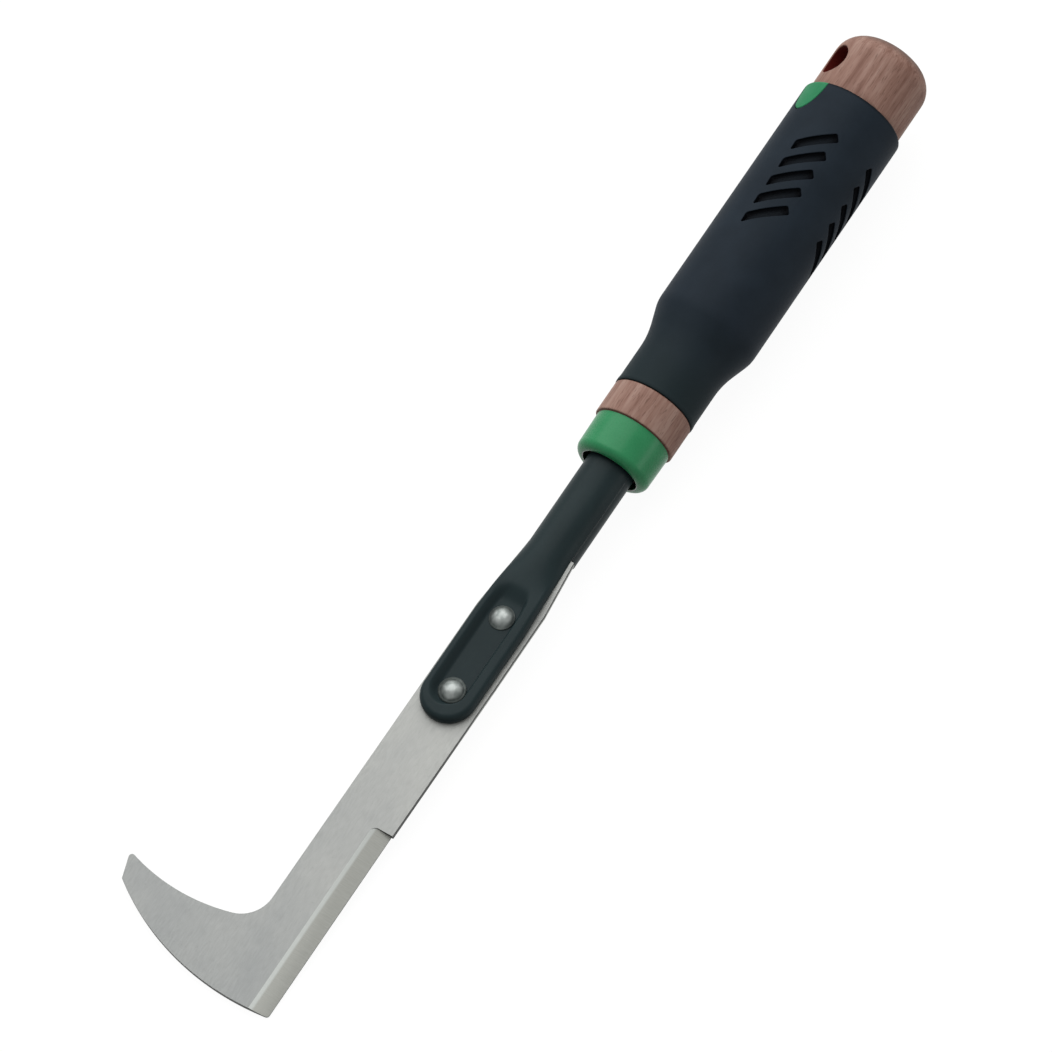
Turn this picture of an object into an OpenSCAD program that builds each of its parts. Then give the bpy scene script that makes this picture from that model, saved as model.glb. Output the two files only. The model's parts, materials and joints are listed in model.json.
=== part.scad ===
// Joint scraper: a hooked weeding knife for paving joints, with a riveted steel blade,
// a pressed tube shank and a turned wooden handle in a rubber grip.
// The tool lies on its back on a level surface, as it rests on a bench.
// Tool axis: X runs from the blade's outer end to the butt, Y points to the hook's tip,
// Z points out of the side that carries the rivet heads, and the handle's axis is y = z = 0.

/* [Blade] */
// Length of the blade, from its outer end to its end under the tube
blade_l = 166.4; // [150:0.1:185]
// Width of the blade's straight shank
blade_w = 20; // [18:0.1:24]
// Thickness of the blade
blade_t = 2; // [1.5:0.1:2.4]
// Reach of the hook's tip from the handle's axis
hook_reach = 54.3; // [45:0.1:60]
// Radius of the hook's outer edge, from the heel to the tip
hook_outer_r = 84.7; // [80:0.1:100]
// Height of the centre of that edge above the handle's axis
hook_outer_y = 3.2; // [0:0.1:6]
// Radius of the hook's inner edge
hook_inner_r = 62.2; // [55:0.1:75]
// Width of the hook at its waist
hook_waist = 20.3; // [18:0.1:22]
// Height of the waist above the handle's axis
hook_waist_y = 34; // [31:0.1:37]
// Radius in the throat, where the hook meets the shank
throat_r = 10.2; // [8:0.1:12]
// Slope of the cut across the hook's tip
tip_angle = 17.9; // [5:0.1:25]
// Length of the ground cutting edge, from the blade's outer end
bevel_l = 66; // [45:0.5:85]
// Width of the ground cutting edge
bevel_w = 6.1; // [4:0.1:8]
// Thickness left at the cutting edge
edge_t = 0.4; // [0.2:0.05:0.8]
// How far grinding takes the edge back from the shank's side
edge_relief = 1; // [0.2:0.05:1.4]
// How much each side of the blade narrows at its end under the tube
end_taper = 1.9; // [0.5:0.1:2.4]
// Length of that narrowing
end_taper_l = 19; // [10:0.5:25]
// Rounding of the corner at the hook's tip
tip_round = 1; // [0.5:0.1:2]
// Rounding of the corner at the heel
heel_round = 1; // [0.5:0.1:3]

/* [Shank tube] */
// Outside diameter of the tube
tube_d = 15.6; // [14.6:0.1:16.8]
// Wall of the tube
tube_wall = 1.4; // [1:0.05:1.6]
// Height of the blade's front face, which the pressed end lies on, above the handle's axis
seat_z = 3; // [2.5:0.1:3.4]
// Length of the pressed end, from its round tip to the step in the tube
tongue_l = 63.4; // [58:0.1:72]
// Width of the pressed end
tongue_w = 17; // [16:0.1:18]
// Height of the pressed end's rim above the blade
tongue_h = 3.2; // [2.9:0.05:3.6]
// Rounding along the top of the rim
rim_round = 1.8; // [1.2:0.05:2]
// Width of the floor of the pressed channel
channel_w = 8.6; // [8.2:0.1:9.2]
// How far the channel's walls lean out, from the floor to the rim
channel_lean = 1.4; // [0.8:0.05:1.6]
// Length of the channel's floor
channel_l = 40.4; // [36:0.1:42]
// Length of the slope from the rim up to the full tube
rise_l = 11; // [8:0.5:14]
// Length over which the pressed end's sides draw in to the tube
fade_l = 28; // [15:0.5:32]
// Gap between the blade's end and the step in the tube
blade_end_gap = 0.6; // [0.3:0.05:1.5]
// Length of bare tube, from the step to the ferrule
bare_tube_l = 31.2; // [20:0.1:45]
// Depth that the tube goes into the wooden handle
tube_grip_l = 100; // [85:0.5:110]

/* [Rivets] */
// Diameter of the rivets' shanks
rivet_d = 4; // [3:0.1:4.8]
// Diameter of the rivet heads
rivet_head_d = 7.3; // [6.4:0.1:8]
// Height of the rivet heads
rivet_head_h = 2.1; // [1.5:0.05:2.6]
// Height of the heads closed on the blade's back
rivet_tail_h = 1.2; // [0.8:0.05:1.8]
// Distance between the rivets
rivet_pitch = 27; // [24:0.1:29]
// Distance of the first rivet from the tip of the pressed end
rivet_inset = 9.6; // [9:0.1:11]

/* [Ferrule] */
// Length of the ferrule
ferrule_l = 13.2; // [10:0.1:18]
// Outside diameter of the ferrule
ferrule_d = 25; // [24.2:0.1:25.8]
// Wall of the ferrule
ferrule_wall = 0.8; // [0.6:0.05:1.1]
// Radius of the ferrule's turned-in end
ferrule_turn = 3.1; // [2.4:0.1:3.8]

/* [Wooden handle] */
// Length of wood that shows between the ferrule and the grip
collar_l = 11.4; // [8:0.1:16]
// Diameter of the wood at the ferrule
collar_d = 26.6; // [26:0.1:28]
// Diameter of the wood under the grip's neck
neck_seat_d = 24; // [22.5:0.1:24.4]
// Diameter of the wood under the grip's body
body_seat_d = 30; // [28:0.1:30.6]
// Length of the butt, behind the grip
butt_l = 23.3; // [22:0.1:30]
// Diameter of the butt
butt_d = 31.3; // [30.6:0.1:32.6]
// Rounding of the butt's end
butt_round = 8; // [4:0.1:10]
// Gap between the wood's front end and the ferrule's turned-in end
end_grain_gap = 0.4; // [0.1:0.1:2]

/* [Hanging hole] */
// Diameter of the hanging hole
hole_d = 10.5; // [7:0.1:12]
// Distance of the hole's centre from the butt's end
hole_inset = 13.2; // [12:0.1:15.5]
// Turn of the hole round the handle, from the riveted side to the hook's side
hole_turn = 50; // [0:1:90]

/* [Grip sleeve] */
// Length of the grip
grip_l = 113.4; // [105:0.1:125]
// Diameter of the grip's body
grip_d = 33.8; // [33.4:0.1:36]
// Diameter of the grip's neck
grip_neck_d = 26.7; // [26.4:0.1:28]
// Length of the neck
grip_neck_l = 13.4; // [10:0.1:18]
// Slope of the shoulder
shoulder_angle = 17.7; // [14:0.1:24]
// Radius from the neck into the shoulder
shoulder_fillet = 29; // [15:0.5:32]
// Radius from the shoulder onto the body
shoulder_round = 12; // [2:0.1:14]
// How far the front rim stands out from the neck
rim_lip = 0.15; // [0.05:0.05:0.4]
// Length of the front rim's raised band
rim_l = 1.2; // [0.6:0.1:2.4]
// Rounding of the rear rim
rear_round = 1; // [0.5:0.05:1.2]
// Number of slots in each group
slot_count = 5; // [3:1:6]
// Number of groups of slots round the grip
slot_groups = 4; // [2:2:4]
// Distance from one slot to the next along the grip
slot_pitch = 7.07; // [5.5:0.01:8]
// Width of a slot
slot_w = 2.45; // [1.8:0.05:3]
// Length of a slot
slot_l = 14.6; // [11:0.1:16]
// Rounding of a slot's corners
slot_corner = 0.7; // [0.2:0.1:0.8]
// Depth of a slot
slot_depth = 1.2; // [0.6:0.05:1.4]
// Slant of the slots, from square to the handle
slot_slant = 38.4; // [20:0.1:50]
// Distance of the last slot's centre from the grip's rear rim
slot_inset = 19.9; // [18:0.1:26]

/* [Grip inlay] */
// Turn of the inlay round the handle, from the riveted side to the hook's side
inlay_turn = 45; // [0:1:90]
// Width of the inlay round the grip
inlay_w = 11.9; // [9:0.1:13]
// Length of the inlay, from the rear rim
inlay_l = 10.8; // [8:0.1:12]
// Thickness of the inlay
inlay_t = 1.3; // [0.8:0.05:1.5]

/* [Retaining pin] */
// Diameter of the pin through the wood and the tube
pin_d = 4; // [3:0.1:5]
// How far the pin's ends lie below the wood's surface
pin_inset = 0.8; // [0.5:0.1:2]
// Distance of the pin from the tube's inner end
pin_from_end = 38; // [30:0.5:42]

/* [Fits] */
// Clearance round a piece that is glued, moulded or riveted in place
fit = 0.05; // [0.02:0.01:0.1]

/* [Hidden] */
$fn = 96;
arc_steps = 10;

// Facets of the hook's large circles
large_fn = 240;

// How far a cut runs past a face, how far it runs into another cut, and how far a corner's
// circle passes the edges that it rounds, so that it crosses them cleanly
over = 1;
skim = 0.1;
bite = 0.01;

// Places along the handle's axis, from the blade's outer end
step_x = blade_l + blade_end_gap;
tongue_x = step_x - tongue_l;
ferrule_x = step_x + bare_tube_l;
end_grain_x = ferrule_x + ferrule_turn + end_grain_gap;
collar_x = ferrule_x + ferrule_l;
grip_x = collar_x + collar_l;
grip_end_x = grip_x + grip_l;
butt_x = grip_end_x + butt_l;
tube_end_x = ferrule_x + tube_grip_l;
hole_x = butt_x - hole_inset;
pin_x = tube_end_x - pin_from_end;

// Heights over the handle's axis
blade_z = seat_z - blade_t;
floor_z = seat_z + tube_wall;
rim_z = seat_z + tongue_h;
rim_centre = [tongue_w / 2 - rim_round, rim_z - rim_round];

// Radii of the turned pieces
tube_r = tube_d / 2;
bore_r = tube_r - tube_wall;
tongue_r = norm(rim_centre) + rim_round;
ferrule_r = ferrule_d / 2;
spigot_r = ferrule_r - ferrule_wall - fit;
collar_r = collar_d / 2;
butt_r = butt_d / 2;
butt_flat_r = butt_r - butt_round;
grip_r = grip_d / 2;
neck_r = grip_neck_d / 2;

// Rivet places
rivet_x = [tongue_x + rivet_inset, tongue_x + rivet_inset + rivet_pitch];

// Where the grip's shoulder starts and where its body reaches its full diameter
neck_end_x = grip_x + grip_neck_l;
fillet_end = [neck_r + shoulder_fillet * (1 - cos(shoulder_angle)),
              neck_end_x + shoulder_fillet * sin(shoulder_angle)];
round_start_r = grip_r - shoulder_round * (1 - cos(shoulder_angle));
body_x = fillet_end[1] + (round_start_r - fillet_end[0]) / tan(shoulder_angle)
         + shoulder_round * sin(shoulder_angle);

// The tool rests on the outer edge of the blade's back and on the grip's shoulder
rest_a = blade_z + grip_r - shoulder_round;
rest_tilt = atan2(rest_a, body_x) + asin(shoulder_round / norm([rest_a, body_x]));
rest_lift = -blade_z * cos(rest_tilt);
low_x = -seat_z * sin(rest_tilt);
high_x = (butt_x - butt_round) * cos(rest_tilt) + butt_round + butt_flat_r * sin(rest_tilt);
mid_x = (low_x + high_x) / 2;
mid_y = (hook_reach - grip_r) / 2;

// Points along an arc, by centre, radius and the angles it runs between
function arc(centre, r, from, to) =
    [for (i = [0:arc_steps]) let (a = from + (to - from) * i / arc_steps) centre + r * [cos(a), sin(a)]];

// Lays the tool down and puts the middle of its base at the origin
module laid() {
    translate([-mid_x, -mid_y, rest_lift])
        rotate([0, -rest_tilt, 0])
            children();
}

// Turns an outline of [radius, place] points about the handle's axis
module turned() {
    rotate([0, 90, 0])
        rotate_extrude()
            children();
}

// Stretches a cross-section, drawn in Y and Z, along the handle's axis
module along(from, to) {
    translate([from, 0, 0])
        rotate([90, 0, 90])
            linear_extrude(height = to - from)
                children();
}

// A round bar on the handle's axis
module bar(r, from, to) {
    translate([from, 0, 0])
        rotate([0, 90, 0])
            cylinder(r = r, h = to - from);
}

// Half-width of the shank, and the places that shape the hook and its throat
half_w = blade_w / 2;
inner_centre = [hook_waist + hook_inner_r, hook_waist_y];
throat_y = half_w + throat_r;
throat_centre = [inner_centre[0] - sqrt(pow(hook_inner_r - throat_r, 2) - pow(throat_y - hook_waist_y, 2)),
                 throat_y];
throat_touch = toward(inner_centre, throat_centre, hook_inner_r);
hook_end_x = throat_centre[0] + throat_r;
edge_y = edge_relief - half_w;

// The hook's tip, and the centre of its rounding inside the tip's cut and the inner edge
tip = [inner_centre[0] - sqrt(pow(hook_inner_r, 2) - pow(hook_reach - hook_waist_y, 2)), hook_reach];
tip_dir = [cos(tip_angle), sin(tip_angle)];
tip_out = [-sin(tip_angle), cos(tip_angle)];
tip_arm = tip - tip_round * tip_out - inner_centre;
tip_back = tip_arm * tip_dir + sqrt(pow(tip_arm * tip_dir, 2) - tip_arm * tip_arm
                                    + pow(hook_inner_r + tip_round, 2));
tip_centre = inner_centre + tip_arm - tip_back * tip_dir;

// The heel, with the centre of its rounding inside the outer edge and the ground edge
outer_centre = [hook_outer_r, hook_outer_y];
heel_y = edge_y + heel_round;
heel_centre = [hook_outer_r - sqrt(pow(hook_outer_r - heel_round, 2) - pow(heel_y - hook_outer_y, 2)),
               heel_y];

function tip_line(x) = [x, tip[1] + (x - tip[0]) * tan(tip_angle)];
function toward(from, to, r) = from + r * (to - from) / norm(to - from);

// What rounding takes off a corner, between the points where it touches the two sides
module corner_waste(side_a, corner, side_b, centre, r) {
    difference() {
        polygon([side_a, corner, side_b, centre]);
        translate(centre) circle(r = r + bite);
    }
}

// The open throat between the hook and the shank
module throat() {
    difference() {
        intersection() {
            translate(inner_centre) circle(r = hook_inner_r, $fn = large_fn);
            translate([0, half_w]) square([hook_end_x + over, hook_reach]);
        }
        polygon([throat_centre, [throat_centre[0], half_w], [hook_waist - throat_r, 0], throat_touch]);
    }
    translate(throat_centre) circle(r = throat_r + bite);
}

// The hook with the heel, bounded by its outer edge and the cut across its tip
module hook() {
    intersection() {
        translate(outer_centre) circle(r = hook_outer_r, $fn = large_fn);
        polygon([[-over, edge_y], tip_line(-over), tip, [tip[0] + over, throat_y],
                 [hook_end_x, half_w], [hook_end_x, edge_y]]);
    }
}

// The shank, narrowed where it runs under the tube
module shank() {
    taper_x = blade_l - end_taper_l;
    end_w = half_w - end_taper;
    polygon([[hook_end_x - over, edge_y], [bevel_l, edge_y], [bevel_l, -half_w], [taper_x, -half_w],
             [blade_l, -end_w], [blade_l, end_w], [taper_x, half_w], [hook_end_x - over, half_w]]);
}

module blade() {
    slope = (blade_t - edge_t) / bevel_w;
    color([0.667, 0.686, 0.675])
        laid()
            difference() {
                translate([0, 0, blade_z])
                    linear_extrude(height = blade_t)
                        difference() {
                            union() {
                                hook();
                                shank();
                            }
                            throat();
                            corner_waste(tip_centre + tip_round * tip_out, tip + over * (tip_out + tip_dir),
                                         toward(inner_centre, tip_centre, hook_inner_r), tip_centre, tip_round);
                            corner_waste([heel_centre[0], edge_y], [-over, edge_y - over],
                                         toward(outer_centre, heel_centre, hook_outer_r),
                                         heel_centre, heel_round);
                        }
                along(-over, bevel_l)
                    polygon([[edge_y + bevel_w, seat_z], [edge_y + bevel_w, seat_z + over],
                             [edge_y - over, seat_z + over], [edge_y - over, seat_z - slope * (bevel_w + over)]]);
                rivet_holes();
            }
}

// Holes for the rivet shanks, through the blade and the pressed end
module rivet_holes() {
    for (x = rivet_x)
        translate([x, 0, blade_z - over])
            cylinder(d = rivet_d + 2 * fit, h = blade_t + tube_wall + 2 * over);
}

// The pressed end as a round-ended block lying on the blade, inset from its outside on request
module tongue_block(inset) {
    w = tongue_w / 2 - inset;
    h = tongue_h - inset;
    round_r = rim_round - inset / 2;
    end_x = step_x - rise_l;
    module half_section() {
        intersection() {
            union() {
                square([w, h - round_r]);
                square([w - round_r, h]);
                translate([w - round_r, h - round_r]) circle(r = round_r);
            }
            square([w, h]);
        }
    }
    intersection() {
        translate([0, 0, seat_z]) {
            translate([tongue_x + tongue_w / 2, 0, 0])
                rotate([0, 0, 90])
                    rotate_extrude(angle = 180)
                        half_section();
            along(tongue_x + tongue_w / 2, end_x) {
                half_section();
                mirror([1, 0]) half_section();
            }
        }
        fade(inset, end_x);
    }
}

// A cone on the handle's axis that draws the pressed end's sides in to the tube at this place
module fade(inset, end_x) {
    slope = (tongue_r - tube_r) / fade_l;
    translate([tongue_x, 0, 0])
        rotate([0, 90, 0])
            cylinder(r1 = tube_r - inset + slope * (end_x - tongue_x), r2 = tube_r - inset,
                     h = end_x - tongue_x);
}

// The pressed channel, from its floor up past the rim, grown by a wall on request
module channel(grow) {
    low = floor_z - grow;
    high = tube_r + over;
    lean = channel_lean * (high - low) / (rim_z - floor_z);
    w = channel_w / 2 + grow;
    end_x = rivet_x[0] + channel_l - channel_w;
    along(rivet_x[0], end_x)
        polygon([[-w, low], [w, low], [w + lean, high], [-w - lean, high]]);
    for (x = [rivet_x[0], end_x])
        translate([x, 0, low])
            cylinder(r1 = w, r2 = w + lean, h = high - low);
}

// The part of the tube over the blade that a slope from the rim up to the full tube leaves
module under_slope(drop) {
    low = rim_z - drop;
    high = tube_r - drop;
    foot_x = step_x - 2 * rise_l;
    rotate([90, 0, 0])
        translate([0, 0, -tube_r - over])
            linear_extrude(height = 2 * (tube_r + over))
                polygon([[foot_x, seat_z - (drop > 0 ? over : 0)], [foot_x, low], [step_x - rise_l, high],
                         [step_x, high + 2 * drop], [step_x, seat_z - (drop > 0 ? over : 0)]]);
}

module shank_tube() {
    color([0.176, 0.208, 0.220])
        laid()
            difference() {
                union() {
                    bar(tube_r, step_x, tube_end_x);
                    tongue_block(0);
                    intersection() {
                        bar(tube_r, step_x - 2 * rise_l, step_x);
                        under_slope(0);
                    }
                }
                bar(bore_r, step_x - skim, tube_end_x + over);
                difference() {
                    union() {
                        translate([0, 0, -skim]) tongue_block(tube_wall);
                        intersection() {
                            bar(bore_r, step_x - 2 * rise_l, step_x);
                            under_slope(tube_wall);
                        }
                    }
                    channel(tube_wall);
                }
                channel(0);
                rivet_holes();
                retaining_hole();
            }
}

// A domed head, with its seat at z = 0
module rivet_head(d, h) {
    r = (d * d / 4 + h * h) / (2 * h);
    rotate_extrude()
        polygon(concat([[0, 0]], arc([0, h - r], r, acos(d / 2 / r) * (h > r ? -1 : 1), 90)));
}

module blade_rivets() {
    color([0.69, 0.71, 0.72])
        laid()
            for (x = rivet_x)
                translate([x, 0, 0]) {
                    translate([0, 0, floor_z]) rivet_head(rivet_head_d, rivet_head_h);
                    translate([0, 0, blade_z]) cylinder(d = rivet_d, h = blade_t + tube_wall);
                    translate([0, 0, blade_z]) mirror([0, 0, 1]) rivet_head(rivet_head_d, rivet_tail_h);
                }
}

module ferrule() {
    turn = [ferrule_r - ferrule_turn, ferrule_x + ferrule_turn];
    color([0.235, 0.576, 0.361])
        laid()
            turned()
                polygon(concat(arc(turn, ferrule_turn, -90, 0),
                               [[ferrule_r, collar_x], [ferrule_r - ferrule_wall, collar_x]],
                               arc(turn, ferrule_turn - ferrule_wall, 0, -90)));
}

module wooden_handle() {
    neck_seat_r = neck_seat_d / 2;
    body_seat_r = body_seat_d / 2;
    butt_centre = [butt_flat_r, butt_x - butt_round];
    color([0.592, 0.455, 0.416])
        laid()
            difference() {
                turned()
                    polygon(concat([[0, end_grain_x], [spigot_r, end_grain_x],
                                    [spigot_r, collar_x], [collar_r, collar_x], [neck_r, grip_x],
                                    [neck_seat_r, grip_x], [neck_seat_r, neck_end_x], [body_seat_r, body_x],
                                    [body_seat_r, grip_end_x], [butt_r, grip_end_x]],
                                   arc(butt_centre, butt_round, 0, 90), [[0, butt_x]]));
                bar(tube_r + fit, ferrule_x, tube_end_x + fit);
                hanging_hole();
                retaining_hole();
            }
}

// The hanging hole, square through the butt
module hanging_hole() {
    translate([hole_x, 0, 0])
        rotate([-hole_turn, 0, 0])
            cylinder(d = hole_d, h = 2 * (butt_r + over), center = true);
}

// The hole for the retaining pin, square through the wood and the tube
module retaining_hole() {
    translate([pin_x, 0, 0])
        cylinder(d = pin_d + 2 * fit, h = body_seat_d + 2 * over, center = true);
}

module retaining_pin() {
    color([0.69, 0.70, 0.71])
        laid()
            translate([pin_x, 0, 0])
                cylinder(d = pin_d, h = body_seat_d - 2 * pin_inset, center = true);
}

// One slanted slot, cut square to the grip's surface
module slot(x, turn, slant) {
    reach = [slot_w / 2 - slot_corner, slot_l / 2 - slot_corner];
    rotate([-turn, 0, 0])
        translate([x, 0, body_seat_d / 2])
            rotate([0, 0, slant])
                linear_extrude(height = grip_d - body_seat_d) {
                    square([slot_w, 2 * reach[1]], center = true);
                    square([2 * reach[0], slot_l], center = true);
                    for (sx = [-1, 1], sy = [-1, 1])
                        translate([sx * reach[0], sy * reach[1]]) circle(r = slot_corner);
                }
}

// The tongue-shaped patch at the rear rim, seen square to its middle
module inlay_plan(grow) {
    w = inlay_w / 2 + grow;
    rotate([-inlay_turn, 0, 0])
        linear_extrude(height = grip_d)
            translate([grip_end_x - inlay_l - grow + w, 0]) {
                circle(r = w);
                translate([0, -w]) square([inlay_l - w + grow + over, 2 * w]);
            }
}

module grip_sleeve() {
    front = [[neck_r + rim_lip, grip_x], [neck_r + rim_lip, grip_x + rim_l],
             [neck_r, grip_x + 2 * rim_l]];
    inner_neck_r = neck_seat_d / 2 + fit;
    inner_body_r = body_seat_d / 2 + fit;
    last_slot_x = grip_end_x - slot_inset;
    color([0.137, 0.165, 0.196])
        laid()
            difference() {
                turned()
                    polygon(concat(front,
                                   arc([neck_r + shoulder_fillet, neck_end_x], shoulder_fillet,
                                       180, 180 - shoulder_angle),
                                   arc([grip_r - shoulder_round, body_x], shoulder_round, -shoulder_angle, 0),
                                   arc([grip_r - rear_round, grip_end_x - rear_round], rear_round, 0, 90),
                                   [[inner_body_r, grip_end_x], [inner_body_r, body_x],
                                    [inner_neck_r, neck_end_x], [inner_neck_r, grip_x]]));
                intersection() {
                    difference() {
                        bar(grip_r + over, grip_x, grip_end_x);
                        bar(grip_r - slot_depth, grip_x - over, grip_end_x + over);
                    }
                    for (g = [0:slot_groups - 1], i = [0:slot_count - 1])
                        slot(last_slot_x - i * slot_pitch, g * 360 / slot_groups,
                             (g % 2 == 0 ? 1 : -1) * slot_slant);
                }
                difference() {
                    inlay_plan(0);
                    bar(grip_r - inlay_t, grip_x, grip_end_x + 2 * over);
                }
            }
}

module grip_inlay() {
    color([0.275, 0.588, 0.400])
        laid()
            intersection() {
                inlay_plan(-fit);
                difference() {
                    turned()
                        polygon(concat([[0, body_x], [grip_r, body_x]],
                                       arc([grip_r - rear_round, grip_end_x - rear_round], rear_round, 0, 90),
                                       [[0, grip_end_x]]));
                    bar(grip_r - inlay_t, body_x - over, grip_end_x + over);
                }
            }
}

blade();
shank_tube();
blade_rivets();
ferrule();
wooden_handle();
retaining_pin();
grip_sleeve();
grip_inlay();
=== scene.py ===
"""A joint scraper, a hooked weeding knife for paving joints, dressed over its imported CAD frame.

Every piece is drawn in millimetres along the tool's own axis: X runs from the blade's outer end
to the butt, Y points to the hook's tip and Z out of the riveted side. It is then laid down as
the frame has it.
"""
import json
import math

import bmesh
import bpy
from mathutils import Matrix, Vector


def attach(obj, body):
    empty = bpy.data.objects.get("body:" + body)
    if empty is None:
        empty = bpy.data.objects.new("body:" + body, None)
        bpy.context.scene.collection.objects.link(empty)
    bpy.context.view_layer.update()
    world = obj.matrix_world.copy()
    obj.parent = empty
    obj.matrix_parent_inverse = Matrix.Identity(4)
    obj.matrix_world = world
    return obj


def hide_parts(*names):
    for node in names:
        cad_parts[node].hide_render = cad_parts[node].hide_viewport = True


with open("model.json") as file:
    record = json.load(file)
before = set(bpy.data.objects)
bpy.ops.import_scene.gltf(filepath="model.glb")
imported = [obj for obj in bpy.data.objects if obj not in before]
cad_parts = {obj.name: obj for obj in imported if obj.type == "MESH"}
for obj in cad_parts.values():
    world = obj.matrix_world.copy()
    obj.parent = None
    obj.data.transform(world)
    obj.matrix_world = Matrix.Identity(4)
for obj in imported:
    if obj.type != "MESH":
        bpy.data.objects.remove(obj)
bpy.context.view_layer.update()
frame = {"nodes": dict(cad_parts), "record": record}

# The hanging hole is square through the handle's axis, so its mount tells how the tool lies.
hole_x = 346.3
hole_mount = frame["record"]["mounts"][0]
rest_tilt = math.atan2(-hole_mount["axis"][0], hole_mount["axis"][2])
laid = (Matrix.Translation(hole_mount["pos_m"]) @ Matrix.Rotation(-rest_tilt, 4, "Y")
        @ Matrix.Scale(0.001, 4) @ Matrix.Translation((-hole_x, 0, 0)))


# Blade: spring steel strip, 20 by 2 mm, blanked to a hook, with satin rolled faces and one edge
# ground on a wheel. It lies under the tube's pressed end, held by two rivets.

blade_l = 166.4
half_w = 10.0
blade_t = 2.0
seat_z = 3.0
hook_reach = 54.3
outer_r, outer_centre = 84.7, Vector((84.7, 3.2, 0))
inner_r, inner_centre = 62.2, Vector((82.5, 34.0, 0))
throat_r = 10.2
tip_slope = math.radians(17.9)
edge_y = -9.1
ground_l, ground_w = 66.0, 6.1
edge_t = 0.4
# Width of the painted highlight along the top of the ground slope.
highlight_band_w = 1.2
step_y, worn_to_x = -9.7, 120.0
taper_x, tail_low_y = 147.4, -8.2
waist_x, waist_y, tail_high_y = 141.4, 9.55, 7.2
corner_steps, outer_steps, tip_steps, inner_steps, throat_steps = 6, 48, 8, 36, 18
merge_gap = 0.002


def finished(bm, name, finishes, node):
    """Lays a piece drawn along the tool's axis down in the frame, where it stands for its node."""
    bmesh.ops.remove_doubles(bm, verts=bm.verts, dist=merge_gap)
    bmesh.ops.recalc_face_normals(bm, faces=bm.faces)
    bmesh.ops.transform(bm, matrix=laid, verts=bm.verts)
    for face in bm.faces:
        face.smooth = True
    mesh = bpy.data.meshes.new(name)
    bm.to_mesh(mesh)
    bm.free()
    piece = bpy.data.objects.new(name, mesh)
    bpy.context.scene.collection.objects.link(piece)
    for finish in finishes:
        mesh.materials.append(finish)
    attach(piece, "root")
    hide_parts(node)
    return piece


def weighted(piece):
    """Large faces keep their own normals, and the small ones along the edges turn between them."""
    piece.modifiers.new("Edge shading", "WEIGHTED_NORMAL").weight = 90


def carved(bm, cutter):
    """What is left of a closed shape after a cutter has been taken out of it."""
    held = []
    for part in (bm, cutter):
        mesh = bpy.data.meshes.new("carving")
        part.to_mesh(mesh)
        part.free()
        held.append(bpy.data.objects.new("carving", mesh))
        bpy.context.scene.collection.objects.link(held[-1])
    cut = held[0].modifiers.new("Cut", "BOOLEAN")
    cut.operation, cut.object, cut.solver = "DIFFERENCE", held[1], "EXACT"
    left = held[0].evaluated_get(bpy.context.evaluated_depsgraph_get())
    result = bmesh.new()
    result.from_mesh(left.data)
    for part in held:
        bpy.data.objects.remove(part)
    return result


def parts(geom, kind):
    """The vertices, edges or faces in what an operator returns."""
    return [item for item in geom if isinstance(item, kind)]


def drawn_to(bm, vert, place):
    """Draws a straight line on from a vertex and returns its other end."""
    end = bmesh.ops.extrude_vert_indiv(bm, verts=[vert])["verts"][0]
    end.co = place
    return end


def drawn_round(bm, vert, centre, turn, steps):
    """Draws an arc on from a vertex and returns its other end."""
    swept = bmesh.ops.spin(bm, geom=[vert], cent=centre, axis=(0, 0, 1), dvec=(0, 0, 0),
                           angle=turn, steps=steps, use_duplicate=False)
    return parts(swept["geom_last"], bmesh.types.BMVert)[0]


def bearing(centre, point):
    """The angle at which a point lies round a centre."""
    return math.atan2(point[1] - centre[1], point[0] - centre[0])


# The centres of the roundings, each inside the two edges that it joins.
corner_r = 1.0
heel = Vector((0, edge_y + corner_r, 0))
heel.x = outer_centre.x - math.sqrt((outer_r - corner_r) ** 2 - (heel.y - outer_centre.y) ** 2)
tip = Vector((0, hook_reach, 0))
tip.x = inner_centre.x - math.sqrt(inner_r ** 2 - (tip.y - inner_centre.y) ** 2)
tip_along = Vector((math.cos(tip_slope), math.sin(tip_slope), 0))
tip_out = Vector((-math.sin(tip_slope), math.cos(tip_slope), 0))
tip_arm = tip - corner_r * tip_out - inner_centre
tip_back = tip_arm.dot(tip_along)
tip_back += math.sqrt(tip_back ** 2 - tip_arm.length_squared + (inner_r + corner_r) ** 2)
tip_round = inner_centre + tip_arm - tip_back * tip_along
throat = Vector((0, half_w + throat_r, 0))
throat.x = inner_centre.x - math.sqrt((inner_r - throat_r) ** 2 - (throat.y - inner_centre.y) ** 2)

# The outer edge meets the slanting cut across the tip where both are at the same place.
cut_arm = tip - outer_centre
cut_back = cut_arm.dot(tip_along)
cut_back += math.sqrt(cut_back ** 2 - cut_arm.length_squared + outer_r ** 2)
tip_corner = tip - cut_back * tip_along

blade = bmesh.new()
start = blade.verts.new((blade_l, tail_low_y, 0))
pen = start
for place in ((taper_x, -half_w), (worn_to_x, -half_w), (ground_l, step_y), (ground_l, edge_y),
              (heel.x, edge_y)):
    pen = drawn_to(blade, pen, (*place, 0))
heel_turn = bearing(outer_centre, heel) + math.pi / 2
pen = drawn_round(blade, pen, heel, heel_turn % (2 * math.pi) - 2 * math.pi, corner_steps)
hook_turn = bearing(outer_centre, tip_corner) - bearing(outer_centre, pen.co) - 2 * math.pi
pen = drawn_round(blade, pen, outer_centre, hook_turn, outer_steps)
pen = drawn_to(blade, pen, tip_round + corner_r * tip_out)
tip_turn = bearing(tip_round, inner_centre) - bearing(tip_round, pen.co)
pen = drawn_round(blade, pen, tip_round, tip_turn, tip_steps)
throat_touch = bearing(inner_centre, throat) % (2 * math.pi)
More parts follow.
